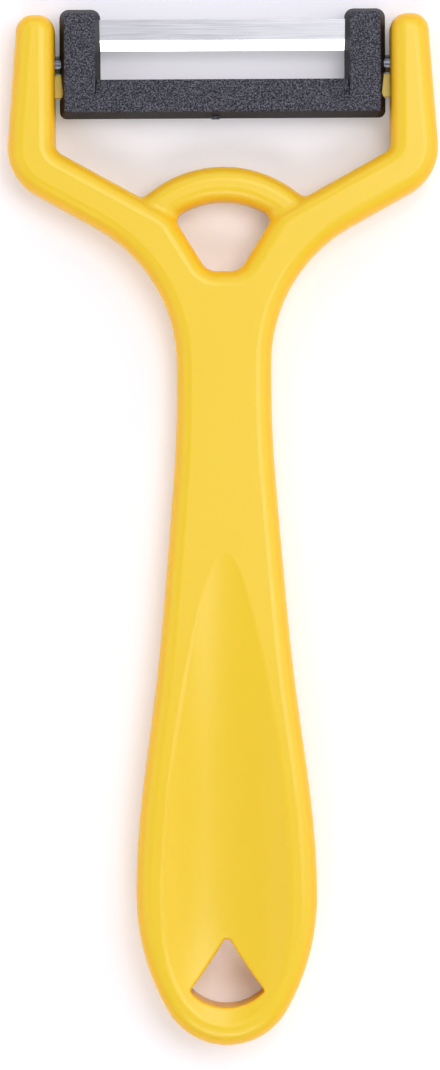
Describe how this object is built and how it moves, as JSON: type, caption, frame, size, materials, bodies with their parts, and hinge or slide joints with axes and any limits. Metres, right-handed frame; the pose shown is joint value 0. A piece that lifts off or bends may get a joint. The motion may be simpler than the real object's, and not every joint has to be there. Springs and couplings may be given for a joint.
{
  "type": "vegetable peeler",
  "caption": "Y-shaped vegetable peeler: glossy handle with a thumb dish, hanging hole and open arch, and a swivelling steel blade in a dark carrier between the fork arms.",
  "frame": {"origin": "middle of the whole length and width, on the flat back of the handle", "axes": "+X across the fork to the right seen from the front, +Y along the handle towards the blade, +Z out of the dished front"},
  "size_m": [0.0662, 0.1592, 0.0105],
  "materials": {
    "handle_plastic": "glossy, slightly translucent yellow moulded plastic",
    "carrier_plastic": "fine grained charcoal moulded plastic",
    "blade_steel": "satin stainless strip with a bright ground bevel",
    "pin_steel": "polished drawn pin steel"
  },
  "bodies": {
    "handle": {"handle": "handle_plastic"},
    "swivel": {"blade_carrier": "carrier_plastic", "blade": "blade_steel", "pivot_pin_left": "pin_steel", "pivot_pin_right": "pin_steel"}
  },
  "joints": [
    {"name": "blade_swivel", "type": "hinge", "parent": "handle", "child": "swivel", "pos_m": [0, 0.07107, 0.0043], "axis": [1, 0, 0], "range_deg": [-22, 22]}
  ]
}
